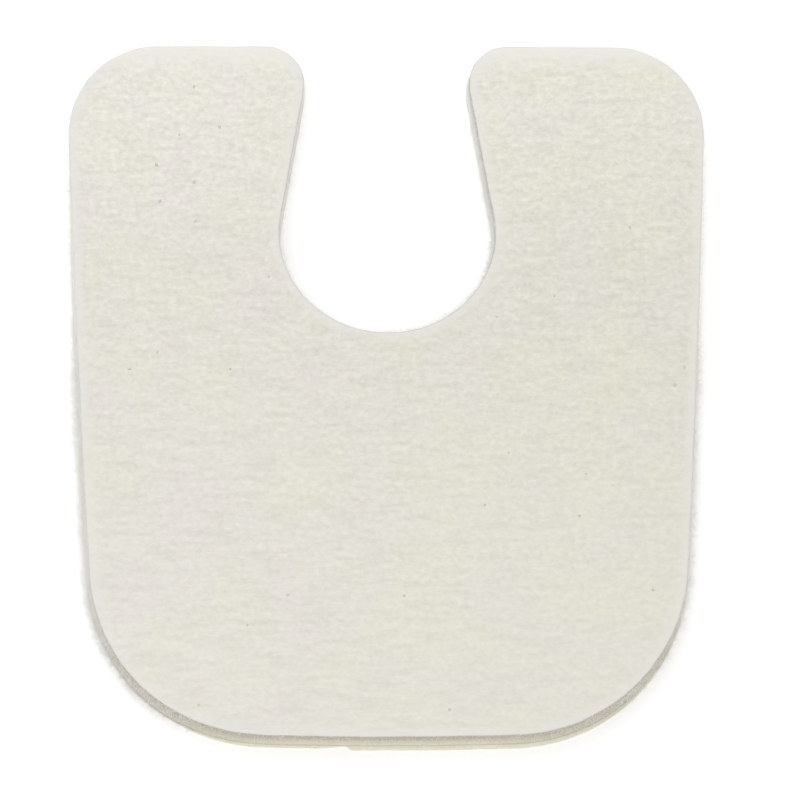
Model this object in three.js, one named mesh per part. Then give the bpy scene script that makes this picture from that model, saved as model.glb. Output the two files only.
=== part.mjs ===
// U-shaped felt callus pad on its release liner, lying flat with the felt face up.
// Millimetres. +Z is up, +Y points to the open mouth of the notch, and the origin is under the middle of the
// pad, on the surface that it lies on.

import * as THREE from 'three';

// Outline of the pad, seen from above
const PAD_LENGTH = 52.1;
const SHOULDER_WIDTH = 47.05;
const SHOULDER_FROM_MOUTH = 12.3;
const HEEL_WIDTH = 44.65;
const HEEL_FROM_CLOSED_END = 15.8;
const SIDE_BOW = 0.05;
const CLOSED_END_BOW = 0.8;
const SHOULDER_RADIUS = 6.7;
const HEEL_RADIUS = 13.1;

// Notch that takes the sore spot
const NOTCH_DEPTH = 21.8;
const NOTCH_WIDTH = 16.1;
const NOTCH_ROUND_DEPTH = 7.55;
const NOTCH_SPLAY = 10.1;
const MOUTH_CORNER_RADIUS = 2.85;

// Layers, from the surface upwards
const LINER_THICKNESS = 0.15;
const FILM_THICKNESS = 0.1;
const FELT_THICKNESS = 3.2;

// Edges of the layers
const TOP_EDGE_RADIUS = 0.15;
const BASE_SPREAD = 0.25;
const FILM_SETBACK = 0.06;
const LINER_SETBACK = 0.02;
const LINER_SHIFT = 0.36;

// Cut wall of the felt below its rounded edge: height and spread as shares of their full values
const WALL_PROFILE = [
  { height: 0, spread: 1 },
  { height: 0.14, spread: 0.5 },
  { height: 0.36, spread: 0.12 },
  { height: 1, spread: 0 },
];

// Segments of each stretch of the outline, and of the rounded edge
const SEGMENTS = { closedEnd: 3, heel: 12, side: 4, shoulder: 10, mouth: 7, wall: 3, notch: 14, topEdge: 4 };

const MOUTH_Y = PAD_LENGTH / 2;
const CLOSED_Y = -PAD_LENGTH / 2;
const SPLAY = THREE.MathUtils.degToRad(NOTCH_SPLAY);
const RIGHT_ANGLE = Math.PI / 2;

// Radius of the circle whose arc rises by a bow over a chord
function bowedRadius(chord, bow) {
  return (chord * chord / 4 + bow * bow) / (2 * bow);
}

function angleFrom(centre, point) {
  return Math.atan2(point.y - centre.y, point.x - centre.x);
}

// Stations along an arc of the material's edge, each with its outward normal
function arcStations(centre, radius, from, to, segments) {
  return Array.from({ length: segments + 1 }, (_, i) => {
    const angle = THREE.MathUtils.lerp(from, to, i / segments);
    const normal = new THREE.Vector2(Math.cos(angle), Math.sin(angle));
    return { point: centre.clone().addScaledVector(normal, radius), normal };
  });
}

// Centre of the circle of a given radius that rounds the corner where two larger circles meet
function cornerCentre(first, firstRadius, second, secondRadius, radius) {
  const reach = firstRadius - radius;
  const otherReach = secondRadius - radius;
  const across = second.clone().sub(first);
  const apart = across.length();
  const along = (reach * reach - otherReach * otherReach + apart * apart) / (2 * apart);
  const aside = Math.sqrt(reach * reach - along * along);
  across.normalize();
  const sideways = new THREE.Vector2(across.y, -across.x);
  return first.clone().addScaledVector(across, along).addScaledVector(sideways, aside);
}

// Right half of the outer edge, from the middle of the closed end to the mouth corner
function outerStations() {
  const shoulder = new THREE.Vector2(SHOULDER_WIDTH / 2, MOUTH_Y - SHOULDER_FROM_MOUTH);
  const heel = new THREE.Vector2(HEEL_WIDTH / 2, CLOSED_Y + HEEL_FROM_CLOSED_END);
  const chord = shoulder.clone().sub(heel);
  const sideRadius = bowedRadius(chord.length(), SIDE_BOW);
  const outward = new THREE.Vector2(chord.y, -chord.x).normalize();
  const side = heel.clone().addScaledVector(chord, 0.5).addScaledVector(outward, SIDE_BOW - sideRadius);
  const endRadius = bowedRadius(HEEL_WIDTH, CLOSED_END_BOW);
  const end = new THREE.Vector2(0, CLOSED_Y + endRadius);

  const heelCentre = cornerCentre(side, sideRadius, end, endRadius, HEEL_RADIUS);
  const shoulderY = MOUTH_Y - SHOULDER_RADIUS;
  const shoulderReach = Math.sqrt((sideRadius - SHOULDER_RADIUS) ** 2 - (shoulderY - side.y) ** 2);
  const shoulderCentre = new THREE.Vector2(side.x + shoulderReach, shoulderY);

  const endToHeel = angleFrom(end, heelCentre);
  const heelToSide = angleFrom(side, heelCentre);
  const sideToShoulder = angleFrom(side, shoulderCentre);
  return [
    ...arcStations(end, endRadius, -RIGHT_ANGLE, endToHeel, SEGMENTS.closedEnd),
    ...arcStations(heelCentre, HEEL_RADIUS, endToHeel, heelToSide, SEGMENTS.heel).slice(1),
    ...arcStations(side, sideRadius, heelToSide, sideToShoulder, SEGMENTS.side).slice(1),
    ...arcStations(shoulderCentre, SHOULDER_RADIUS, sideToShoulder, RIGHT_ANGLE, SEGMENTS.shoulder).slice(1),
  ];
}

// Right half of the notch, from the mouth corner to the middle of its round end.
// The round end is half an ellipse, which the splayed wall leaves as a tangent.
function notchStations() {
  const halfWidth = NOTCH_WIDTH / 2;
  const roundCentreY = MOUTH_Y - NOTCH_DEPTH + NOTCH_ROUND_DEPTH;
  const leave = Math.atan(NOTCH_ROUND_DEPTH / halfWidth * Math.tan(SPLAY));
  const round = Array.from({ length: SEGMENTS.notch + 1 }, (_, i) => {
    const turn = THREE.MathUtils.lerp(leave, -RIGHT_ANGLE, i / SEGMENTS.notch);
    const point = new THREE.Vector2(
      halfWidth * Math.cos(turn), roundCentreY + NOTCH_ROUND_DEPTH * Math.sin(turn));
    const normal = new THREE.Vector2(-Math.cos(turn) / halfWidth, -Math.sin(turn) / NOTCH_ROUND_DEPTH);
    return { point, normal: normal.normalize() };
  });

  const wallFoot = round[0];
  const wallRise = MOUTH_Y - wallFoot.point.y;
  const mouthX = wallFoot.point.x - wallRise * Math.tan(SPLAY);
  const mouthCentre = new THREE.Vector2(
    mouthX + MOUTH_CORNER_RADIUS * (1 + Math.sin(SPLAY)) / Math.cos(SPLAY),
    MOUTH_Y - MOUTH_CORNER_RADIUS);
  const corner = arcStations(
    mouthCentre, MOUTH_CORNER_RADIUS, RIGHT_ANGLE, Math.PI + SPLAY, SEGMENTS.mouth);
  const wallHead = corner[corner.length - 1];
  const wall = Array.from({ length: SEGMENTS.wall - 1 }, (_, i) => ({
    point: wallHead.point.clone().lerp(wallFoot.point, (i + 1) / SEGMENTS.wall),
    normal: wallHead.normal.clone(),
  }));
  return [...corner, ...wall, ...round];
}

// Whole outline, counterclockwise from the middle of the closed end
function padStations() {
  const right = [...outerStations(), ...notchStations()];
  const mirrored = ({ point, normal }) => ({
    point: new THREE.Vector2(-point.x, point.y),
    normal: new THREE.Vector2(-normal.x, normal.y),
  });
  const left = right.slice(1, -1).reverse().map(mirrored);
  return [...right, ...left];
}

// Closed solid through a stack of rings, each the outline moved outwards by a spread at its own height
function stackedSolid(stations, rings) {
  const count = stations.length;
  const positions = [];
  const indices = [];
  for (const { z, spread } of rings) {
    for (const { point, normal } of stations) {
      positions.push(point.x + normal.x * spread, point.y + normal.y * spread, z);
    }
  }
  for (let ring = 0; ring < rings.length - 1; ring += 1) {
    for (let i = 0; i < count; i += 1) {
      const next = (i + 1) % count;
      const low = ring * count;
      const high = low + count;
      indices.push(low + i, low + next, high + next, low + i, high + next, high + i);
    }
  }
  const cap = THREE.ShapeUtils.triangulateShape(stations.map(({ point }) => point), []);
  const topRing = (rings.length - 1) * count;
  for (const [a, b, c] of cap) {
    indices.push(c, b, a);
    indices.push(topRing + a, topRing + b, topRing + c);
  }
  const geometry = new THREE.BufferGeometry();
  geometry.setAttribute('position', new THREE.Float32BufferAttribute(positions, 3));
  geometry.setIndex(indices);
  geometry.computeVertexNormals();
  return geometry;
}

// Layer of even thickness, its edge moved outwards by a spread
function layer(stations, bottom, thickness, spread) {
  return stackedSolid(stations, [{ z: bottom, spread }, { z: bottom + thickness, spread }]);
}

// Felt body: a cut wall that spreads towards its base, and a rounded top edge
function feltBody(stations, bottom) {
  const wallHeight = FELT_THICKNESS - TOP_EDGE_RADIUS;
  const wall = WALL_PROFILE.map(({ height, spread }) => ({
    z: bottom + height * wallHeight,
    spread: spread * BASE_SPREAD,
  }));
  const edge = Array.from({ length: SEGMENTS.topEdge }, (_, i) => {
    const turn = RIGHT_ANGLE * (i + 1) / SEGMENTS.topEdge;
    return {
      z: bottom + wallHeight + TOP_EDGE_RADIUS * Math.sin(turn),
      spread: TOP_EDGE_RADIUS * (Math.cos(turn) - 1),
    };
  });
  return stackedSolid(stations, [...wall, ...edge]);
}

function namedPiece(name, geometry, y, look) {
  const mesh = new THREE.Mesh(geometry, new THREE.MeshStandardMaterial(look));
  mesh.name = name;
  mesh.position.y = y;
  return mesh;
}

function callusPad() {
  const stations = padStations();
  const filmBottom = LINER_THICKNESS;
  const feltBottom = filmBottom + FILM_THICKNESS;
  const liner = layer(stations, 0, LINER_THICKNESS, BASE_SPREAD - LINER_SETBACK);
  const film = layer(stations, filmBottom, FILM_THICKNESS, BASE_SPREAD - FILM_SETBACK);
  const felt = feltBody(stations, feltBottom);

  // The liner lies a little towards the closed end, and the origin is under the middle of them all
  const feltY = (LINER_SHIFT - LINER_SETBACK) / 2;
  const linerY = feltY - LINER_SHIFT;
  const pad = new THREE.Group();
  pad.add(namedPiece('felt_pad', felt, feltY, { color: 0xe4e2da, roughness: 0.97, metalness: 0 }));
  pad.add(namedPiece('adhesive_film', film, feltY, { color: 0xc9bd93, roughness: 0.4, metalness: 0 }));
  pad.add(namedPiece('release_liner', liner, linerY, { color: 0xe0d9bd, roughness: 0.55, metalness: 0 }));
  return pad;
}

export default callusPad();
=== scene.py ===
"""Looks of a U-shaped felt callus pad lying on its release liner.

Lengths are millimetres until a mesh is made.
"""

import math

import bpy
import numpy as np
from mathutils import Matrix, Vector, kdtree, noise
from mathutils.geometry import delaunay_2d_cdt


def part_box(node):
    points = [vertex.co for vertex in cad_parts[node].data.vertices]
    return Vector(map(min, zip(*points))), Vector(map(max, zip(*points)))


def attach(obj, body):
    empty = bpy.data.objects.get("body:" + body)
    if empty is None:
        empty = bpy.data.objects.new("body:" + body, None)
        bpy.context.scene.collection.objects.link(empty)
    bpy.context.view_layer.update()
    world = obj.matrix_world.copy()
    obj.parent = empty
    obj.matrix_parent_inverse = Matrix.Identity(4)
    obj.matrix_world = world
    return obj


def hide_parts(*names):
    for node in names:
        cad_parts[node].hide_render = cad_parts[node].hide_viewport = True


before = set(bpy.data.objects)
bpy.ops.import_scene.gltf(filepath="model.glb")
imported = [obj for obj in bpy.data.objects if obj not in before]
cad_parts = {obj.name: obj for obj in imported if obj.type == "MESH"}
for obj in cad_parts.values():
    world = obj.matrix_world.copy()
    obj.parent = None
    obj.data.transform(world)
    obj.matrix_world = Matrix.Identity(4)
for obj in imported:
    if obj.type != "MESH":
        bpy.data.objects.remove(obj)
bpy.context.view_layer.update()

MM = 0.001
SEED = 41

# Camera: almost straight above, leaning towards the closed end and a little to the left
CAMERA_DISTANCE = 500.0
CAMERA_LEAN_BACK = 10.5
CAMERA_LEAN_LEFT = 2.0
CAMERA_ROLL = 0.31
CAMERA_AIM = (0.890, -0.590, 2.85)
CLIP_NEAR = 0.01
CLIP_FAR = 20.0
PIXELS_PER_MM = 13.47
IMAGE_SIZE = 800
SENSOR_WIDTH = 36.0

# Mesh of the felt body, and how its corners and the inner points of its faces are found
MESH_STEP = 0.21
SAMPLES_PER_STEP = 6
FEWEST_SAMPLES = 4
RING_TOLERANCE = 0.001
MERGE_DISTANCE = 1e-6
FACE_JITTER = 0.12
FACE_GAP = 0.6 * MESH_STEP
WALL_RINGS = 13
EDGE_RINGS = 4

# Cut wall: rounded top edge, flared base, drawn in a little above, and upright beside the shoulders
TOP_EDGE_RADIUS = 0.15
FLARE_POWER = 4.6
WAIST_DEPTH = 0.05
UPRIGHT_FROM = 8.0
UPRIGHT_TO = 15.0
UPRIGHT_SHARE = 0.25
NOTCH_HALF_WIDTH = 14.0
NOTCH_FROM = -8.0
NOTCH_TO = 0.0
NOTCH_SHARE = 0.5
FULL_CORNER = (-17.8, -19.9)
FULL_CORNER_BY = 0.15
FULL_CORNER_REACH = 9.0

# Relief of the felt face: streaks that bend and rise to the right, grain and a swell
STREAK_RISE = 6.0
STREAKS_LEVEL_X = -16.0
STREAKS_RISEN_X = -2.0
STREAK_LENGTH = 2.2
STREAK_PITCH = 0.55
STREAK_HEIGHT = 0.012
SHORT_STREAK_SHARE = 0.5
SHORT_STREAK_LENGTH = STREAK_LENGTH / 2.6
SHORT_STREAK_PITCH = STREAK_PITCH / 1.7
BEND_SIZE = 5.0
BEND_REACH = 0.5
GRAIN_SIZE = 0.3
GRAIN_HEIGHT = 0.008
SWELL_SIZE = 7.0
SWELL_HEIGHT = 0.006
PATCH_SIZE = 9.0
PATCH_MEAN = 0.75
PATCH_CHANGE = 0.5
COARSENING = 0.22
COARSENING_REACH = 25.0
COARSER_ON_LEFT = 0.3
CALM_AT_LOW_RIGHT = 0.4

# Lower right part of the face, where relief and streaks grow faint over these stretches of X and Y
LOW_RIGHT_X = (0.0, 14.0)
LOW_RIGHT_Y = (2.0, -14.0)

# Relief of the cut wall: fibre layers and grain
WALL_LAYER_PITCH = 0.22
WALL_LAYER_LENGTH = 1.1
WALL_RELIEF = 0.03
WALL_GRAIN_SIZE = 0.3
WALL_GRAIN_PITCH = 0.2
WALL_GRAIN_SHARE = 0.6

# Slices of the noise that keep its uses apart
NOISE_SLICES = {
    "bend": 3.1, "streak": 1.7, "short streak": 5.3, "grain": 9.2, "swell": 7.4, "patch": 12.6,
    "wall grain": 40.0, "cut edge": 20.0,
}

# Fibres that lie matted on the felt face
FIBRE_BATCHES = 2
FIBRES_PER_BATCH = 6000
FIBRE_SEED = SEED + 1
FIBRE_STOPS = 4
FIBRE_RADIUS = 0.009
FIBRE_RADII = (0.6, 1.2)
FIBRE_SHOWN = 0.45
FIBRE_END_SINK = 2.2
FIBRE_LENGTHS = (0.5, 1.9)
FIBRE_SCATTER = 0.75
FIBRE_BEND = 0.55
FIBRE_STARTS_INSIDE = 0.35
FIBRE_STAYS_INSIDE = 0.12
TIP_TAPER = 0.35
TUBE_SIDES = 3
TINY = 1e-9

# Fuzz that stands out of the cut wall and its rounded edge
FUZZ_BATCHES = 3
FUZZ_PER_BATCH = 8500
FUZZ_SEED = SEED + 20
FUZZ_STOPS = 3
FUZZ_RADIUS = 0.0075
FUZZ_LENGTHS = (0.15, 1.15)
FUZZ_SHORTNESS = 2.0
FUZZ_SPARSE_LENGTH = 0.4
FUZZ_ON_EDGE = 0.15
FUZZ_EDGE_TURN = 1.2
FUZZ_LOWNESS = 2.2
FUZZ_ROOT_DEPTH = 0.03
FUZZ_ALONG = 0.8
FUZZ_OUTWARD = (0.3, 1.5)
FUZZ_UPWARD = 0.3
FUZZ_CURL = 0.4
FUZZ_LOWEST = 0.02

# Share of the full fuzz in each region, and where one region turns into the next
FUZZ_AT_MOUTH = 0.12
FUZZ_AT_CLOSED_END = 0.25
FUZZ_IN_NOTCH = (0.25, 0.50)
FUZZ_ON_RIGHT = 0.70
FUZZ_ON_ARMS = 0.45
NOTCH_SIDES_X = (-4.0, 4.0)
NOTCH_MOUTH_Y = (20.0, 24.0)
RIGHT_X = (0.0, 14.0)
ARMS_Y = (1.0, 8.0)
SHOULDERS_Y = (14.0, 21.0)
CLOSED_END_X = (12.0, 18.0)
CLOSED_END_Y = (-23.0, -17.0)

# Specks of plant matter in the wool
SPECK_PLACES = (
    (-12.5, 20.0), (8.1, 5.6), (7.1, -8.6), (18.1, 12.4), (-14.4, 15.8), (14.1, -9.4),
    (-19.2, 1.6), (-17.2, 17.1), (-17.1, 2.9), (-15.5, 19.4), (-14.4, 23.1), (-14.3, 12.8),
)
SPECK_COUNT = 26
SPECK_SEED = SEED + 30
SPECK_RADIUS = 0.12
SPECK_RADII = (0.5, 1.1)
SPECK_LENGTHS = (0.16, 0.30)
SPECK_LIFT = 0.01
SPECK_FLATNESS = 0.2
SPECKS_INSIDE = 0.8

# Thin layers: bevel as a share of the thickness, and the wavering of the cut edge
LAYER_BEVEL = 0.25
EDGE_WAVER = 0.03
EDGE_WAVER_SIZE = 0.8
EDGE_WAVER_MEAN = 0.4

# Liner: the stretch of the closed end where its cut edge stands back, left of a small step
NICK_X = -2.8
NICK_DEPTH = 0.28
NICK_REST = 0.10
NICK_STEP = 0.3
NICK_LENGTH = 2.5
NICK_ENDS = (12.0, 16.0)
NICK_REACH = 8.0

# Adhesive pressed a little way out of the seam
SQUEEZE_OUT = 0.06

# Noise of the materials: size of its blobs, detail, roughness, and how it is stretched and turned
TEXTURES = {
    "patches": {"size": 5.0, "detail": 3.0},
    "grain": {
        "size": 0.38, "detail": 3.0, "roughness": 0.6, "stretch": (0.78, 1.0, 1.0), "turn": math.radians(-4),
    },
    "streaks": {
        "size": 0.56, "detail": 3.0, "roughness": 0.6, "stretch": (0.22, 1.0, 1.0), "turn": math.radians(-5),
    },
    "strands": {"size": 0.16, "detail": 2.0, "roughness": 0.6, "stretch": (0.12, 1.0, 1.0)},
    "rim": {"size": 1.5, "detail": 2.0},
    "wall layers": {"size": 0.5, "detail": 3.0, "roughness": 0.6, "stretch": (0.35, 0.35, 1.0)},
    "wall base": {"size": 0.5, "detail": 3.0},
    "specks": {"size": 0.2, "detail": 2.0},
    "film": {"size": 1.2, "detail": 3.0},
    "film bump": {"size": 0.4, "detail": 2.0},
    "paper": {"size": 2.5, "detail": 4.0},
    "paper fibres": {"size": 0.3, "detail": 3.0, "roughness": 0.6, "stretch": (1.0, 0.3, 1.0)},
    "paper bump": {"size": 0.25, "detail": 3.0, "roughness": 0.6, "stretch": (1.0, 0.35, 1.0)},
}

# Colours of the felt face, the painted shade that greys its rim, and the ends of its arms
WHITE = (1.0, 1.0, 1.0)
FACE_COLOURS = (
    (0.36, (0.797, 0.767, 0.724)),
    (0.50, (0.798, 0.777, 0.715)),
    (0.64, (0.799, 0.785, 0.697)),
)
# Painted shade: the face greys within this width of its edge, standing in for the shade of its rounded top
# edge
RIM_SHADE_COLOURS = ((0.40, (0.712, 0.696, 0.673)), (0.60, (0.716, 0.702, 0.666)))
RIM_SHADE_WIDTH = 0.9
RIM_SHADE_FULL_SHARE = 0.3
RIM_SHADE_STRENGTH = 0.6
ARM_END_COLOURS = ((0.40, (0.770, 0.752, 0.715)), (0.60, (0.774, 0.758, 0.708)))
ARM_END_Y = (24.0, 26.5)

# What darkens the felt face: grain and streaks, each with its strength, and slow painted shade below the
# arms and towards the right
GRAIN_COLOURS = ((0.30, (0.845, 0.845, 0.84)), (0.70, WHITE))
GRAIN_STRENGTH = ((0.0, (0.58, 0.58, 0.58)), (1.0, WHITE))
GRAIN_STRENGTH_Y = (-22.0, 18.0)
STREAK_COLOURS = ((0.34, (0.940, 0.940, 0.934)), (0.57, WHITE))
STREAK_STRENGTH = ((0.0, WHITE), (1.0, (0.55, 0.55, 0.55)))
# Painted shade: the face darkens below the arms and towards the right, where less light falls than at the
# upper left; towards the right it also turns a little yellower
SHADE_UNDER_ARMS = ((0.0, WHITE), (1.0, (0.94, 0.94, 0.935)))
SHADE_UNDER_ARMS_Y = (22.0, 9.0)
SHADE_TO_RIGHT = ((0.0, WHITE), (1.0, (0.972, 0.978, 0.948)))
SHADE_TO_RIGHT_X = (-16.0, 20.0)

# Colours of the cut wall and its base: tan at the closed end, grey elsewhere, darker than the face by the
# cut edge's own tone deepened with painted shade, paler at the base as painted light, and painted shade and
# light that change across X
# Upper wall at the closed end: a dark tan, the cut edge's own tone deepened with painted shade
TAN = ((0.35, (0.395, 0.362, 0.292)), (0.65, (0.450, 0.415, 0.342)))
# Its base: paler than the wall above, painted light
TAN_BASE = ((0.35, (0.700, 0.655, 0.535)), (0.65, (0.760, 0.715, 0.595)))
# Painted shade: the tan base darkens towards both lower corners
TAN_BASE_CORNER_SHADE = (
    (0.20, (0.84, 0.84, 0.84)), (0.36, WHITE), (0.64, WHITE), (0.80, (0.80, 0.80, 0.80)),
)
TAN_Y = (-12.0, -19.0)
# Upper wall elsewhere: grey, the cut edge's own tone deepened with painted shade
GREY = ((0.35, (0.715, 0.700, 0.660)), (0.65, (0.785, 0.770, 0.725)))
# Its base: paler than the wall above, painted light
GREY_BASE = ((0.35, (0.800, 0.787, 0.752)), (0.65, (0.850, 0.837, 0.800)))
# Painted shade and light by side: the grey wall darkest on the notch's right wall and palest on the outer
# right wall
GREY_SIDE_LIGHT_AND_SHADE = (
    (0.05, (0.90, 0.90, 0.90)), (0.35, (0.80, 0.80, 0.80)), (0.60, (0.63, 0.63, 0.63)),
    (0.75, (0.63, 0.63, 0.63)), (0.92, WHITE),
)
WALL_X = (-24.0, 24.0)
# Heights over which the wall turns to its paler base, painted light
BASE_PAINTED_LIGHT_Z = (1.9, 0.4)

# Where the darker wall colours, partly painted shade, turn into the face colours, by how far the surface
# faces up
WALL_TO_FACE = (0.35, 0.85)

# Bump of the matted fibres: the ways they lie, and their depth and strength
STRAND_TURNS = (-0.1, 0.9, -1.1)
STRAND_DEPTH = 0.02
STRAND_STRENGTH = 0.4

# Colours of the fibres, specks, adhesive and paper
MATTED_WOOL = ((0.36, (0.722, 0.696, 0.658)), (0.64, (0.726, 0.714, 0.640)))
# Painted light: the edge fuzz is near white, paler than the felt it grows from, to lift it out of its own
# shade
PALE_LIT_FUZZ_WOOL = ((0.36, (0.925, 0.915, 0.890)), (0.64, (0.930, 0.916, 0.880)))
SPECK_COLOURS = ((0.35, (0.58, 0.565, 0.50)), (0.65, (0.66, 0.645, 0.575)))
FILM_COLOURS = ((0.35, (0.81, 0.76, 0.61)), (0.65, (0.87, 0.83, 0.69)))
FILM_BUMP = (0.03, 0.4)
PAPER_COLOURS = ((0.35, (0.90, 0.87, 0.73)), (0.65, (0.93, 0.91, 0.79)))
PAPER_FIBRES = ((0.35, (0.94, 0.94, 0.93)), (0.6, WHITE))
PAPER_BUMP = (0.02, 0.35)

# Light: each lamp's name, power, width and place in metres
LAMPS = (
    ("upper_left_lamp", 0.265, 0.25, (-0.08, 0.14, 0.28)),
    ("lower_left_lamp", 0.38, 0.35, (-0.04, -0.24, 0.40)),
)
SKY_STRENGTH = 0.80
FLOOR_GLOW = 0.18
FLOOR_REACH = 3.0
FLOOR_WHITE = 0.92

# The floor stands a hair above the liner's underside, so the liner shows from below
FLOOR_RISE = 0.01


def box_mm(node):
    """Lowest and highest corner of a CAD node."""
    return [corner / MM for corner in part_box(node)]


# Outline of the pad, read from the felt solid

def cad_ring(node, height):
    """A node's outline at one height, counterclockwise, from its mesh's edges at that height."""
    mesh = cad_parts[node].data
    corners = [vertex.co / MM for vertex in mesh.vertices]
    beside = {}
    for edge in mesh.edges:
        a, b = (corners[i] for i in edge.vertices)
        if max(abs(a.z - height), abs(b.z - height)) > RING_TOLERANCE:
            continue
        a_key, b_key = ((round(p.x, 3), round(p.y, 3)) for p in (a, b))
        beside.setdefault(a_key, set()).add(b_key)
        beside.setdefault(b_key, set()).add(a_key)
    ring = [min(beside)]
    ring.append(min(beside[ring[0]]))
    while True:
        ahead = [key for key in beside[ring[-1]] if key != ring[-2]]
        if ahead[0] == ring[0]:
            break
        ring.append(ahead[0])
    points = np.array(ring)
    after = np.roll(points, -1, axis=0)
    turning = np.sum(points[:, 0] * after[:, 1] - points[:, 1] * after[:, 0])
    return points if turning > 0 else points[::-1]


def smooth_ring(points, step):
    """Even stations along the smooth closed curve through the points, and their outward normals."""
    chords = np.roll(points, -1, axis=0) - points
    lengths = np.linalg.norm(chords, axis=1)
    slopes = chords / lengths[:, None]
    before = np.roll(slopes, 1, axis=0)
    lengths_before = np.roll(lengths, 1)
    weight = (lengths_before**2 / (lengths**2 + lengths_before**2))[:, None]
    tangents = before * weight + slopes * (1 - weight)
    dense = []
    for i in range(len(points)):
        j = (i + 1) % len(points)
        samples = max(FEWEST_SAMPLES, int(lengths[i] / step * SAMPLES_PER_STEP))
        t = np.linspace(0, 1, samples, endpoint=False)[:, None]
        reach = lengths[i]
        dense.append(
            points[i] * (2 * t**3 - 3 * t**2 + 1) + tangents[i] * reach * (t**3 - 2 * t**2 + t)
            + points[j] * (3 * t**2 - 2 * t**3) + tangents[j] * reach * (t**3 - t**2)
        )
    dense = np.vstack(dense)
    closed = np.vstack([dense, dense[:1]])
    along = np.concatenate([[0], np.cumsum(np.linalg.norm(np.diff(closed, axis=0), axis=1))])
    count = int(along[-1] / step)
    stops = np.linspace(0, along[-1], count, endpoint=False)
    stations = np.column_stack([np.interp(stops, along, closed[:, k]) for k in (0, 1)])
    heading = np.roll(stations, -1, axis=0) - np.roll(stations, 1, axis=0)
    heading /= np.linalg.norm(heading, axis=1)[:, None]
    normals = np.column_stack([heading[:, 1], -heading[:, 0]])
    return stations, normals


class Outline:
    """Stations round the pad, with a search for the nearest one."""

    def __init__(self, stations, normals):
        self.stations = stations
        self.normals = normals
        self.tree = kdtree.KDTree(len(stations))
        for i, (x, y) in enumerate(stations):
            self.tree.insert((x, y, 0), i)
        self.tree.balance()

    def inside(self, x, y):
        """How far a point lies inside the outline; negative outside."""
        _, i, _ = self.tree.find((x, y, 0))
        away = self.stations[i] - (x, y)
        return float(away @ self.normals[i])


def pad_outline():
    """The CAD outline at the top of the felt's wall."""
    _, high = box_mm("felt_pad")
    return Outline(*smooth_ring(cad_ring("felt_pad", high.z - TOP_EDGE_RADIUS), MESH_STEP))


def fuller_corner(outline):
    """The outline with its lower left corner cut a little fuller, as the felt alone is."""
    away = np.hypot(*(outline.stations - FULL_CORNER).T)
    fuller = [FULL_CORNER_BY * (1.0 - eased(distance, 0.0, FULL_CORNER_REACH)) for distance in away]
    return Outline(outline.stations + outline.normals * np.array(fuller)[:, None], outline.normals)


# Relief of the felt

def eased(value, start, end):
    """0 before the start, 1 after the end, and a smooth rise between."""
    share = min(max((value - start) / (end - start), 0.0), 1.0)
    return share * share * (3 - 2 * share)


def streak_rise(x):
    """Angle that the streaks lie at: level on the left arm, and rising to the right elsewhere."""
    across = min(max((x - STREAKS_LEVEL_X) / (STREAKS_RISEN_X - STREAKS_LEVEL_X), 0.0), 1.0)
    return math.radians(STREAK_RISE) * across


def flat_noise(use, x, y, width, height):
    """Noise for one use, whose blobs have about this width and height."""
    return noise.noise((x / width, y / height, NOISE_SLICES[use]))


def relief_share(x, y):
    """Strength of the relief: patchy, coarser towards the mouth, and faint at the lower right."""
    share = PATCH_MEAN + PATCH_CHANGE * flat_noise("patch", x, y, PATCH_SIZE, PATCH_SIZE)
    share += COARSENING * (y - COARSER_ON_LEFT * x) / COARSENING_REACH
    return share * (1.0 - CALM_AT_LOW_RIGHT * eased(x, *LOW_RIGHT_X) * eased(y, *LOW_RIGHT_Y))


def top_relief(x, y):
    """Height of the matted felt face above its mean."""
    rise = streak_rise(x)
    along = x * math.cos(rise) + y * math.sin(rise)
    over = y * math.cos(rise) - x * math.sin(rise)
    over += BEND_REACH * flat_noise("bend", x, y, BEND_SIZE, BEND_SIZE)
    streak = flat_noise("streak", along, over, STREAK_LENGTH, STREAK_PITCH)
    short = flat_noise("short streak", along, over, SHORT_STREAK_LENGTH, SHORT_STREAK_PITCH)
    grain = flat_noise("grain", x, y, GRAIN_SIZE, GRAIN_SIZE)
    swell = flat_noise("swell", x, y, SWELL_SIZE, SWELL_SIZE)
    matted = STREAK_HEIGHT * (streak + SHORT_STREAK_SHARE * short) + GRAIN_HEIGHT * grain
    return relief_share(x, y) * matted + SWELL_HEIGHT * swell


def wall_relief(x, y, z):
    """Height of the fibre layers that the cut wall shows."""
    layer = noise.noise((x / WALL_LAYER_LENGTH, y / WALL_LAYER_LENGTH, z / WALL_LAYER_PITCH))
    grain_z = z / WALL_GRAIN_PITCH + NOISE_SLICES["wall grain"]
    grain = noise.noise((x / WALL_GRAIN_SIZE, y / WALL_GRAIN_SIZE, grain_z))
    return WALL_RELIEF * (layer + WALL_GRAIN_SHARE * grain)


def flare_share(x, y):
    """Share of the base's full flare: half in the notch, and little beside the shoulders."""
    if abs(x) < NOTCH_HALF_WIDTH:
        return 1.0 - (1.0 - NOTCH_SHARE) * eased(y, NOTCH_FROM, NOTCH_TO)
    return 1.0 - (1.0 - UPRIGHT_SHARE) * eased(y, UPRIGHT_FROM, UPRIGHT_TO)


def wall_profile(height, base_spread):
    """How far the wall stands out of the outline at a share of its height."""
    return base_spread * (1 - height) ** FLARE_POWER - WAIST_DEPTH * math.sin(math.pi * height) ** 2


# Meshes

def new_object(name, vertices, faces, material, smooth=True):
    """A mesh object from millimetre vertices, with its material, attached to the root body."""
    mesh = bpy.data.meshes.new(name)
    mesh.from_pydata([tuple(v) for v in np.asarray(vertices) * MM], [], faces)
    mesh.validate()
    mesh.materials.append(material)
    if smooth:
        mesh.shade_smooth()
    piece = bpy.data.objects.new(name, mesh)
    bpy.context.scene.collection.objects.link(piece)
    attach(piece, "root")
    return piece


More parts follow.
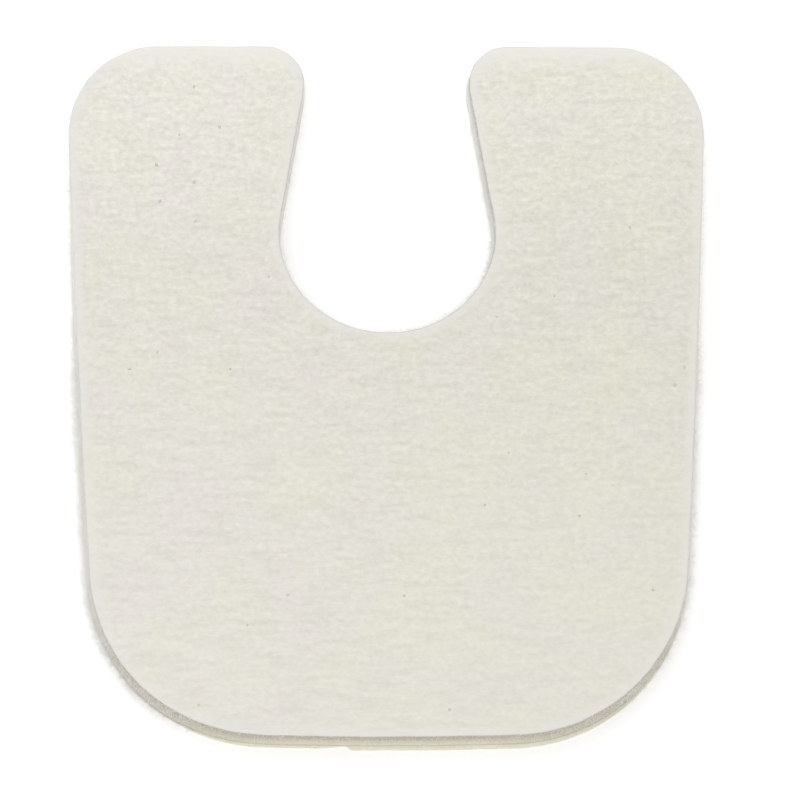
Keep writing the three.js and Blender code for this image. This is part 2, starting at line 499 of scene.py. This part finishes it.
def band_faces(lower, upper, count):
    """Quads between two rings of vertices that start at the given indices."""
    pairs = [(i, (i + 1) % count) for i in range(count)]
    return [(lower + i, lower + j, upper + j, upper + i) for i, j in pairs]


def within(ring, points):
    """Which points lie inside a closed ring, by the crossings of a line through each of them."""
    start, end = ring, np.roll(ring, -1, axis=0)
    result = np.zeros(len(points), bool)
    for k, (x, y) in enumerate(points):
        spans = (start[:, 1] > y) != (end[:, 1] > y)
        s, e = start[spans], end[spans]
        crossings = s[:, 0] + (y - s[:, 1]) / (e[:, 1] - s[:, 1]) * (e[:, 0] - s[:, 0])
        result[k] = np.count_nonzero(crossings > x) % 2 == 1
    return result


def cap_triangles(ring, inner=()):
    """Triangles that fill a closed ring and take in its inner points, which are counted after the ring."""
    count = len(ring)
    points = [Vector(p) for p in (*ring, *inner)]
    edges = [(i, (i + 1) % count) for i in range(count)]
    _, _, triangles, _, _, _ = delaunay_2d_cdt(points, edges, [], 1, MERGE_DISTANCE, False)
    bridging = [t for t in triangles if max(t) < count]
    middles = np.array([np.mean([ring[i] for i in t], axis=0) for t in bridging])
    outside = {tuple(t) for t, kept in zip(bridging, within(ring, middles)) if not kept}
    return [tuple(t) for t in triangles if tuple(t) not in outside]


def face_points(outline, margin, step, rng):
    """Points of a jittered triangular grid that lie inside the outline by a margin."""
    low = outline.stations.min(axis=0)
    high = outline.stations.max(axis=0)
    rows = np.arange(low[1], high[1], step * math.sqrt(3) / 2)
    found = []
    for k, y in enumerate(rows):
        for x in np.arange(low[0] + (k % 2) * step / 2, high[0], step):
            if outline.inside(x, y) > margin:
                found.append((x, y))
    found = np.array(found)
    return found + rng.uniform(-FACE_JITTER, FACE_JITTER, found.shape) * step


def make_felt(outline, material):
    """Felt body: a fine mesh with matted relief, a rounded top edge and a layered cut wall."""
    rng = np.random.default_rng(SEED)
    low, high = box_mm("felt_pad")
    base_spread = high.x - outline.stations[:, 0].max()
    wall_height = high.z - low.z - TOP_EDGE_RADIUS
    count = len(outline.stations)
    flare = [flare_share(x, y) for x, y in outline.stations]

    rings = [(k / WALL_RINGS, 0.0) for k in range(WALL_RINGS)]
    rings += [(1.0, math.pi / 2 * k / EDGE_RINGS) for k in range(EDGE_RINGS + 1)]
    vertices = []
    for share, turn in rings:
        above_base = 0.0 if share == 0.0 else 1.0
        z = low.z + share * wall_height + TOP_EDGE_RADIUS * math.sin(turn)
        for (x, y), (nx, ny), wide in zip(outline.stations, outline.normals, flare):
            spread = wall_profile(share, base_spread * wide) + TOP_EDGE_RADIUS * (math.cos(turn) - 1)
            px, py = x + nx * spread, y + ny * spread
            out = wall_relief(px, py, z) * math.cos(turn) * above_base
            up = top_relief(px, py) * math.sin(turn) * above_base
            vertices.append((px + nx * out, py + ny * out, z + up))
    faces = []
    for k in range(len(rings) - 1):
        faces += band_faces(k * count, (k + 1) * count, count)
    rim = [0.0] * len(vertices)

    start = (len(rings) - 1) * count
    top_ring = np.array(vertices[start:])[:, :2]
    inner = face_points(outline, TOP_EDGE_RADIUS + FACE_GAP, MESH_STEP, rng)
    vertices += [(x, y, high.z + top_relief(x, y)) for x, y in inner]
    rim += [outline.inside(x, y) for x, y in inner]
    faces += [tuple(start + i for i in triangle) for triangle in cap_triangles(top_ring, inner)]
    base = np.array(vertices[:count])[:, :2]
    faces += [triangle[::-1] for triangle in cap_triangles(base)]

    felt = new_object("felt_body", vertices, faces, material)
    # Depth inside the outline, by which the material paints a grey rim shade
    depth = felt.data.attributes.new("rim_shade_depth", "FLOAT", "POINT")
    depth.data.foreach_set("value", rim)
    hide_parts("felt_pad")


# Fibres

def fibre_mesh(paths, radii):
    """Vertices and faces of thin closed tubes along the paths, tapered towards their tips."""
    total, stops, _ = paths.shape
    heading = np.gradient(paths, axis=1)
    heading /= np.linalg.norm(heading, axis=2, keepdims=True) + TINY
    side = np.cross(heading, (0.0, 0.0, 1.0))
    side /= np.linalg.norm(side, axis=2, keepdims=True) + TINY
    lift = np.cross(side, heading)
    taper = np.array([TIP_TAPER, *[1.0] * (stops - 2), TIP_TAPER])[None, :, None]
    reach = radii[:, None, None] * taper
    corners = []
    for k in range(TUBE_SIDES):
        angle = (0.5 + 2 * k / TUBE_SIDES) * math.pi
        corners.append(paths + (side * math.cos(angle) + lift * math.sin(angle)) * reach)
    vertices = np.stack(corners, axis=2).reshape(-1, 3)
    faces = []
    for fibre in range(total):
        first = fibre * stops * TUBE_SIDES
        last = first + (stops - 1) * TUBE_SIDES
        for near in range(first, last, TUBE_SIDES):
            faces += band_faces(near, near + TUBE_SIDES, TUBE_SIDES)
        faces.append(tuple(range(first, first + TUBE_SIDES))[::-1])
        faces.append(tuple(range(last, last + TUBE_SIDES)))
    return vertices, faces


def matted_paths(outline, count, rng):
    """Paths of fibres that lie on the felt face in gentle bends, mostly along the streaks."""
    _, high = box_mm("felt_pad")
    low_xy = outline.stations.min(axis=0)
    high_xy = outline.stations.max(axis=0)
    last = FIBRE_STOPS - 1
    paths = []
    while len(paths) < count:
        x, y = rng.uniform(low_xy, high_xy)
        if outline.inside(x, y) < FIBRE_STARTS_INSIDE:
            continue
        heading = rng.normal(streak_rise(x), FIBRE_SCATTER)
        length = rng.uniform(*FIBRE_LENGTHS)
        bend = rng.normal(0.0, FIBRE_BEND)
        path = []
        for k in range(FIBRE_STOPS):
            if outline.inside(x, y) < FIBRE_STAYS_INSIDE:
                break
            sunk = (FIBRE_END_SINK if k in (0, last) else 1 - 2 * FIBRE_SHOWN) * FIBRE_RADIUS
            path.append((x, y, high.z + top_relief(x, y) - sunk))
            x += math.cos(heading) * length / last
            y += math.sin(heading) * length / last
            heading += bend
        if len(path) == FIBRE_STOPS:
            paths.append(path)
    return np.array(paths)


def fuzz_share(x, y):
    """Share of the full fuzz: most on the left side, least on the arms' ends."""
    if abs(x) < NOTCH_HALF_WIDTH and y > NOTCH_TO:
        left, right = FUZZ_IN_NOTCH
        share = left + (right - left) * eased(x, *NOTCH_SIDES_X)
        return share + (FUZZ_AT_MOUTH - share) * eased(y, *NOTCH_MOUTH_Y)
    share = 1.0 + (FUZZ_ON_RIGHT - 1.0) * eased(x, *RIGHT_X)
    share *= 1.0 + (FUZZ_ON_ARMS - 1.0) * eased(y, *ARMS_Y)
    closed = (1 - eased(abs(x), *CLOSED_END_X)) * (1 - eased(y, *CLOSED_END_Y))
    share += (FUZZ_AT_CLOSED_END - share) * closed
    return max(FUZZ_AT_MOUTH, share * (1 - eased(y, *SHOULDERS_Y)))


def fuzz_paths(outline, count, rng):
    """Paths of short fibres rooted in the cut wall and its rounded edge, standing outwards."""
    low, high = box_mm("felt_pad")
    base_spread = high.x - outline.stations[:, 0].max()
    wall_height = high.z - low.z - TOP_EDGE_RADIUS
    up = Vector((0, 0, 1))
    paths = []
    while len(paths) < count:
        i = rng.integers(0, len(outline.stations))
        fullness = fuzz_share(*outline.stations[i])
        if rng.random() > fullness:
            continue
        normal = Vector((*outline.normals[i], 0.0))
        along = Vector((-normal.y, normal.x, 0.0))
        point = Vector((*outline.stations[i], 0.0))
        turn = rng.uniform(0.0, FUZZ_EDGE_TURN) if rng.random() < FUZZ_ON_EDGE else 0.0
        share = rng.random() ** FUZZ_LOWNESS if turn == 0.0 else 1.0
        wide = base_spread * flare_share(point.x, point.y)
        spread = wall_profile(share, wide) + TOP_EDGE_RADIUS * (math.cos(turn) - 1)
        point += normal * (spread - FUZZ_ROOT_DEPTH)
        point.z = low.z + share * wall_height + TOP_EDGE_RADIUS * math.sin(turn)
        outward = normal * math.cos(turn) + up * math.sin(turn)
        heading = along * rng.normal(0.0, FUZZ_ALONG) + outward * rng.uniform(*FUZZ_OUTWARD)
        heading += up * rng.normal(0.0, FUZZ_UPWARD)
        heading.normalize()
        shortest, longest = FUZZ_LENGTHS
        length = shortest + (longest - shortest) * rng.random() ** FUZZ_SHORTNESS
        length *= FUZZ_SPARSE_LENGTH + (1 - FUZZ_SPARSE_LENGTH) * fullness
        curl = Vector(rng.normal(0.0, FUZZ_CURL, 3))
        path = []
        for _ in range(FUZZ_STOPS):
            path.append((point.x, point.y, min(max(point.z, FUZZ_LOWEST), high.z)))
            point = point + heading * length / (FUZZ_STOPS - 1)
            heading = (heading + curl).normalized()
        paths.append(path)
    return np.array(paths)


def make_specks(outline, material):
    """Flat dark bits on the felt face: the larger ones of the photograph, and some scattered ones."""
    _, high = box_mm("felt_pad")
    rng = np.random.default_rng(SPECK_SEED)
    places = list(SPECK_PLACES)
    while len(places) < SPECK_COUNT:
        x, y = rng.uniform(outline.stations.min(axis=0), outline.stations.max(axis=0))
        if outline.inside(x, y) > SPECKS_INSIDE:
            places.append((x, y))
    paths = []
    for x, y in places:
        heading = rng.uniform(0.0, math.pi)
        reach = rng.uniform(*SPECK_LENGTHS) / 2
        path = []
        for k in range(FIBRE_STOPS):
            along = reach * (2 * k / (FIBRE_STOPS - 1) - 1)
            px, py = x + math.cos(heading) * along, y + math.sin(heading) * along
            path.append((px, py, high.z + top_relief(px, py) + SPECK_LIFT))
        paths.append(path)
    radii = rng.uniform(*SPECK_RADII, len(paths)) * SPECK_RADIUS
    paths = np.array(paths)
    vertices, faces = fibre_mesh(paths, radii)
    middles = np.repeat(paths.reshape(-1, 3), TUBE_SIDES, axis=0)
    vertices = middles + (vertices - middles) * (1.0, 1.0, SPECK_FLATNESS)
    new_object("felt_specks", vertices, faces, material)


def make_fibres(outline, material, fuzz_material):
    """Batches of matted fibres on the felt face, and of fuzz round its edge."""
    kinds = (
        ("felt_fibres", FIBRE_BATCHES, FIBRES_PER_BATCH, FIBRE_SEED, FIBRE_RADIUS, matted_paths, material),
        ("felt_edge_fuzz", FUZZ_BATCHES, FUZZ_PER_BATCH, FUZZ_SEED, FUZZ_RADIUS, fuzz_paths, fuzz_material),
    )
    for name, batches, per_batch, seed, radius, find_paths, wool in kinds:
        for batch in range(batches):
            rng = np.random.default_rng(seed + batch)
            paths = find_paths(outline, per_batch, rng)
            radii = rng.uniform(*FIBRE_RADII, len(paths)) * radius
            vertices, faces = fibre_mesh(paths, radii)
            new_object(f"{name}_{batch + 1}", vertices, faces, wool)


# Adhesive film and release liner

def nick_depth(x):
    """How far the liner's cut edge stands back along the closed end."""
    past = NICK_X - x
    if past < 0.0:
        return 0.0
    kept = NICK_REST + (NICK_DEPTH - NICK_REST) * (1 - eased(past, NICK_STEP, NICK_LENGTH))
    return kept * eased(past, 0.0, NICK_STEP) * (1 - eased(past, *NICK_ENDS))


def thin_layer(outline, node, name, material, squeeze=0.0, nick=False):
    """A thin layer in the place of a CAD node, with a slightly uneven cut edge."""
    low, high = box_mm(node)
    spread = (high.x - low.x) / 2 - np.ptp(outline.stations[:, 0]) / 2 + squeeze
    shift = (high.y + low.y) / 2 - (outline.stations[:, 1].max() + outline.stations[:, 1].min()) / 2
    bevel = LAYER_BEVEL * (high.z - low.z)
    rings = [(low.z, -bevel), (low.z + bevel, 0.0), (high.z - bevel, 0.0), (high.z, -bevel)]
    count = len(outline.stations)
    vertices = []
    for z, inset in rings:
        for (x, y), (nx, ny) in zip(outline.stations, outline.normals):
            waver = flat_noise("cut edge", x, y, EDGE_WAVER_SIZE, EDGE_WAVER_SIZE) - EDGE_WAVER_MEAN
            step_in = nick_depth(x) if nick and y < low.y + NICK_REACH else 0.0
            out = spread * flare_share(x, y) + inset + EDGE_WAVER * waver - step_in
            vertices.append((x + nx * out, y + ny * out + shift, z))
    faces = []
    for k in range(len(rings) - 1):
        faces += band_faces(k * count, (k + 1) * count, count)
    flat = np.array(vertices)[:, :2]
    bottom = cap_triangles(flat[:count])
    top = cap_triangles(flat[-count:])
    faces += [triangle[::-1] for triangle in bottom]
    faces += [tuple((len(rings) - 1) * count + i for i in triangle) for triangle in top]
    layer = new_object(name, vertices, faces, material, smooth=False)
    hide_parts(node)


# Materials

def new_material(name):
    """A new material, its nodes, its shader, and the object's coordinates in millimetres."""
    material = bpy.data.materials.new(name)
    material.use_nodes = True
    tree = material.node_tree
    shader = tree.nodes["Principled BSDF"]
    place = tree.nodes.new("ShaderNodeTexCoord")
    scale = tree.nodes.new("ShaderNodeVectorMath")
    scale.operation = "SCALE"
    scale.inputs["Scale"].default_value = 1 / MM
    tree.links.new(place.outputs["Object"], scale.inputs[0])
    return material, tree, shader, scale.outputs["Vector"]


def texture_noise(tree, place, size, detail, roughness=0.5, stretch=(1, 1, 1), turn=0.0):
    """Noise whose blobs are about a size in millimetres, stretched and turned about Z."""
    mapping = tree.nodes.new("ShaderNodeMapping")
    mapping.inputs["Rotation"].default_value = (0, 0, turn)
    mapping.inputs["Scale"].default_value = stretch
    tree.links.new(place, mapping.inputs["Vector"])
    texture = tree.nodes.new("ShaderNodeTexNoise")
    texture.inputs["Scale"].default_value = 1 / size
    texture.inputs["Detail"].default_value = detail
    texture.inputs["Roughness"].default_value = roughness
    tree.links.new(mapping.outputs["Vector"], texture.inputs["Vector"])
    return texture.outputs["Fac"]


def ramp(tree, value, stops):
    """Colours at places along a value."""
    node = tree.nodes.new("ShaderNodeValToRGB")
    node.color_ramp.elements.remove(node.color_ramp.elements[1])
    for k, (place, colour) in enumerate(stops):
        element = node.color_ramp.elements[0] if k == 0 else node.color_ramp.elements.new(place)
        element.position = place
        element.color = (*colour, 1.0)
    tree.links.new(value, node.inputs["Fac"])
    return node.outputs["Color"]


def mottle(tree, place, texture, stops):
    """Colours at places along one of the noise textures."""
    return ramp(tree, texture_noise(tree, place, **TEXTURES[texture]), stops)


def fade(tree, place, axis, stretch, stops):
    """Colours at places along a stretch of an axis."""
    return ramp(tree, share_along(tree, place, axis, *stretch), stops)


def mix(tree, factor, a, b):
    """Changes one colour into another by a factor."""
    node = tree.nodes.new("ShaderNodeMix")
    node.data_type = "RGBA"
    tree.links.new(factor, node.inputs["Factor"])
    tree.links.new(a, node.inputs["A"])
    tree.links.new(b, node.inputs["B"])
    return node.outputs["Result"]


def darken(tree, colour, by, factor=None):
    """Multiplies a colour by another one, in full or by a factor."""
    node = tree.nodes.new("ShaderNodeMix")
    node.data_type = "RGBA"
    node.blend_type = "MULTIPLY"
    node.inputs["Factor"].default_value = 1.0
    if factor is not None:
        tree.links.new(factor, node.inputs["Factor"])
    tree.links.new(colour, node.inputs["A"])
    tree.links.new(by, node.inputs["B"])
    return node.outputs["Result"]


def combine(tree, operation, a, b):
    """Result of an operation on two values."""
    node = tree.nodes.new("ShaderNodeMath")
    node.operation = operation
    tree.links.new(a, node.inputs[0])
    tree.links.new(b, node.inputs[1])
    return node.outputs["Value"]


def map_range(tree, value, start, end, highest=1.0):
    """Share of the way from a start to an end, up to a highest value."""
    node = tree.nodes.new("ShaderNodeMapRange")
    node.inputs["From Min"].default_value = start
    node.inputs["From Max"].default_value = end
    node.inputs["To Max"].default_value = highest
    tree.links.new(value, node.inputs["Value"])
    return node.outputs["Result"]


def along_axis(tree, vector, axis):
    """One component of a vector."""
    parts = tree.nodes.new("ShaderNodeSeparateXYZ")
    tree.links.new(vector, parts.inputs[0])
    return parts.outputs[axis]


def share_along(tree, place, axis, start, end):
    """Share of the way between two places along an axis, in millimetres."""
    return map_range(tree, along_axis(tree, place, axis), start, end)


def bump(tree, shader, height, distance, strength):
    """Bumps of a height in millimetres."""
    node = tree.nodes.new("ShaderNodeBump")
    node.inputs["Distance"].default_value = distance * MM
    node.inputs["Strength"].default_value = strength
    tree.links.new(height, node.inputs["Height"])
    tree.links.new(node.outputs["Normal"], shader.inputs["Normal"])


def matte(shader):
    """Dull finish of wool."""
    shader.inputs["Roughness"].default_value = 0.96
    shader.inputs["Specular IOR Level"].default_value = 0.15
    shader.inputs["Sheen Weight"].default_value = 0.1
    shader.inputs["Sheen Roughness"].default_value = 0.6


def felt_top_colour(tree, place):
    """Cream wool in warm and pinkish grey patches, with faint grain and streaks, and painted shade that
    darkens it below the arms and towards the right.
    """
    across = share_along(tree, place, "X", *LOW_RIGHT_X)
    low_right = combine(tree, "MULTIPLY", across, share_along(tree, place, "Y", *LOW_RIGHT_Y))
    grain_strength = fade(tree, place, "Y", GRAIN_STRENGTH_Y, GRAIN_STRENGTH)
    colour = mottle(tree, place, "patches", FACE_COLOURS)
    colour = darken(tree, colour, mottle(tree, place, "grain", GRAIN_COLOURS), grain_strength)
    # Painted shade towards the right and below the arms
    colour = darken(tree, colour, fade(tree, place, "X", SHADE_TO_RIGHT_X, SHADE_TO_RIGHT))
    colour = darken(tree, colour, fade(tree, place, "Y", SHADE_UNDER_ARMS_Y, SHADE_UNDER_ARMS))
    streaks = mottle(tree, place, "streaks", STREAK_COLOURS)
    return darken(tree, colour, streaks, ramp(tree, low_right, STREAK_STRENGTH))


def strands_bump(tree, shader, place):
    """Matted fibres in three directions."""
    strands = None
    for turn in STRAND_TURNS:
        strand = texture_noise(tree, place, **TEXTURES["strands"], turn=turn)
        strands = strand if strands is None else combine(tree, "MAXIMUM", strands, strand)
    bump(tree, shader, strands, STRAND_DEPTH, STRAND_STRENGTH)


def wall_tone_and_shade(tree, place):
    """Cut wall: tan at the closed end, grey elsewhere, darker than the face by its own tone deepened with
    painted shade, with painted shade and light across X, and paler towards the base as painted light.
    """
    # Painted light: share of the way to the paler base
    low = share_along(tree, place, "Z", *BASE_PAINTED_LIGHT_Z)
    # Painted shade: the tan base darkens towards the lower corners
    tan_base_corner_shade = fade(tree, place, "X", WALL_X, TAN_BASE_CORNER_SHADE)
    tan_base = darken(tree, mottle(tree, place, "wall base", TAN_BASE), tan_base_corner_shade)
    tan = mix(tree, low, mottle(tree, place, "wall layers", TAN), tan_base)
    # Painted shade and light: the grey wall darker or paler by side
    grey_side_light_and_shade = fade(tree, place, "X", WALL_X, GREY_SIDE_LIGHT_AND_SHADE)
    grey = darken(tree, mottle(tree, place, "wall layers", GREY), grey_side_light_and_shade)
    grey = mix(tree, low, grey, mottle(tree, place, "wall base", GREY_BASE))
    return mix(tree, share_along(tree, place, "Y", *TAN_Y), grey, tan)


def felt_material():
    """Needled felt: cream on its faces, greyed along its rim by painted shade, and darker and tanner on its
    cut wall, by its own tone deepened with painted shade.
    """
    material, tree, shader, place = new_material("cream_felt")
    depth = tree.nodes.new("ShaderNodeAttribute")
    depth.attribute_name = "rim_shade_depth"
    # Painted shade: grey mixed into the face near its edge
    painted_rim_shade = map_range(tree, depth.outputs["Fac"], RIM_SHADE_WIDTH, RIM_SHADE_FULL_SHARE * RIM_SHADE_WIDTH, RIM_SHADE_STRENGTH)
    face = mix(tree, painted_rim_shade, felt_top_colour(tree, place), mottle(tree, place, "rim", RIM_SHADE_COLOURS))
    arm_end = share_along(tree, place, "Y", *ARM_END_Y)
    face = mix(tree, arm_end, face, mottle(tree, place, "rim", ARM_END_COLOURS))
    coordinates = tree.nodes.new("ShaderNodeTexCoord")
    upward = along_axis(tree, coordinates.outputs["Normal"], "Z")
    # Wall colours, partly painted shade, where the surface faces aside; face colours where it faces up
    facing_up = map_range(tree, upward, *WALL_TO_FACE)
    tree.links.new(mix(tree, facing_up, wall_tone_and_shade(tree, place), face), shader.inputs["Base Color"])
    matte(shader)
    strands_bump(tree, shader, place)
    return material


def wool_material(name, texture, colours):
    """Loose bits of the felt: fibres, or the seed and straw that stay in undyed wool."""
    material, tree, shader, place = new_material(name)
    tree.links.new(mottle(tree, place, texture, colours), shader.inputs["Base Color"])
    matte(shader)
    return material


def film_material():
    """Tan adhesive with a slightly uneven gloss."""
    material, tree, shader, place = new_material("tan_adhesive")
    tree.links.new(mottle(tree, place, "film", FILM_COLOURS), shader.inputs["Base Color"])
    shader.inputs["Roughness"].default_value = 0.38
    bump(tree, shader, texture_noise(tree, place, **TEXTURES["film bump"]), *FILM_BUMP)
    return material


def liner_material():
    """Pale straw release paper with fine paper fibres under a dull silicone gloss."""
    material, tree, shader, place = new_material("straw_release_paper")
    fibres = mottle(tree, place, "paper fibres", PAPER_FIBRES)
    colour = darken(tree, mottle(tree, place, "paper", PAPER_COLOURS), fibres)
    tree.links.new(colour, shader.inputs["Base Color"])
    shader.inputs["Roughness"].default_value = 0.5
    shader.inputs["Coat Weight"].default_value = 0.25
    shader.inputs["Coat Roughness"].default_value = 0.35
    bump(tree, shader, texture_noise(tree, place, **TEXTURES["paper bump"]), *PAPER_BUMP)
    return material


# Stage, light and camera

def make_floor():
    """White surface that the pad lies on, which is no part of it."""
    mesh = bpy.data.meshes.new("floor")
    sides = ((-1, -1), (1, -1), (1, 1), (-1, 1))
    corners = [(x * FLOOR_REACH, y * FLOOR_REACH, FLOOR_RISE * MM) for x, y in sides]
    mesh.from_pydata(corners, [], [(0, 1, 2, 3)])
    material, _, shader, _ = new_material("white_surface")
    shader.inputs["Base Color"].default_value = (FLOOR_WHITE, FLOOR_WHITE, FLOOR_WHITE, 1)
    shader.inputs["Roughness"].default_value = 0.9
    shader.inputs["Specular IOR Level"].default_value = 0.1
    shader.inputs["Emission Color"].default_value = (1, 1, 1, 1)
    shader.inputs["Emission Strength"].default_value = FLOOR_GLOW
    mesh.materials.append(material)
    floor = bpy.data.objects.new("floor", mesh)
    bpy.context.scene.collection.objects.link(floor)


def make_light():
    """Even white sky and two soft lamps aimed at the pad."""
    world = bpy.data.worlds.new("soft_sky")
    bpy.context.scene.world = world
    world.use_nodes = True
    sky = world.node_tree.nodes["Background"]
    sky.inputs["Color"].default_value = (1, 1, 1, 1)
    sky.inputs["Strength"].default_value = SKY_STRENGTH
    for name, power, size, place in LAMPS:
        light = bpy.data.lights.new(name, "AREA")
        light.shape = "SQUARE"
        light.size = size
        light.energy = power
        lamp = bpy.data.objects.new(name, light)
        lamp.location = place
        lamp.rotation_euler = Vector(place).to_track_quat("Z", "Y").to_euler()
        bpy.context.scene.collection.objects.link(lamp)
    bpy.context.scene.view_settings.view_transform = "Standard"


def make_camera():
    """Camera whose picture's up is the pad's +Y, turned by the small roll that the pad lies at."""
    back = math.radians(CAMERA_LEAN_BACK)
    left = math.radians(CAMERA_LEAN_LEFT)
    roll = math.radians(CAMERA_ROLL)
    towards = Vector((-math.sin(left), -math.sin(back) * math.cos(left), math.cos(back) * math.cos(left)))
    right = Vector((math.sin(roll), math.cos(roll), 0)).cross(towards).normalized()
    up = towards.cross(right)
    turn = Matrix((right, up, towards)).transposed().to_4x4()
    data = bpy.data.cameras.new("camera")
    data.sensor_width = SENSOR_WIDTH
    data.lens = SENSOR_WIDTH * PIXELS_PER_MM * CAMERA_DISTANCE / IMAGE_SIZE
    data.clip_start = CLIP_NEAR
    data.clip_end = CLIP_FAR
    camera = bpy.data.objects.new("camera", data)
    place = Vector(CAMERA_AIM) + towards * CAMERA_DISTANCE
    camera.matrix_world = Matrix.Translation(place * MM) @ turn
    bpy.context.scene.collection.objects.link(camera)
    bpy.context.scene.camera = camera


outline = pad_outline()
felt_outline = fuller_corner(outline)
make_felt(felt_outline, felt_material())
matted_wool = wool_material("matted_wool", "patches", MATTED_WOOL)
# Near-white wool for the edge fuzz, painted light
fuzz_wool_painted_light = wool_material("fuzz_wool_painted_light", "patches", PALE_LIT_FUZZ_WOOL)
make_fibres(felt_outline, matted_wool, fuzz_wool_painted_light)
make_specks(felt_outline, wool_material("wool_specks", "specks", SPECK_COLOURS))
thin_layer(outline, "adhesive_film", "adhesive_coat", film_material(), squeeze=SQUEEZE_OUT)
thin_layer(outline, "release_liner", "release_paper", liner_material(), nick=True)
make_floor()
make_light()
make_camera()
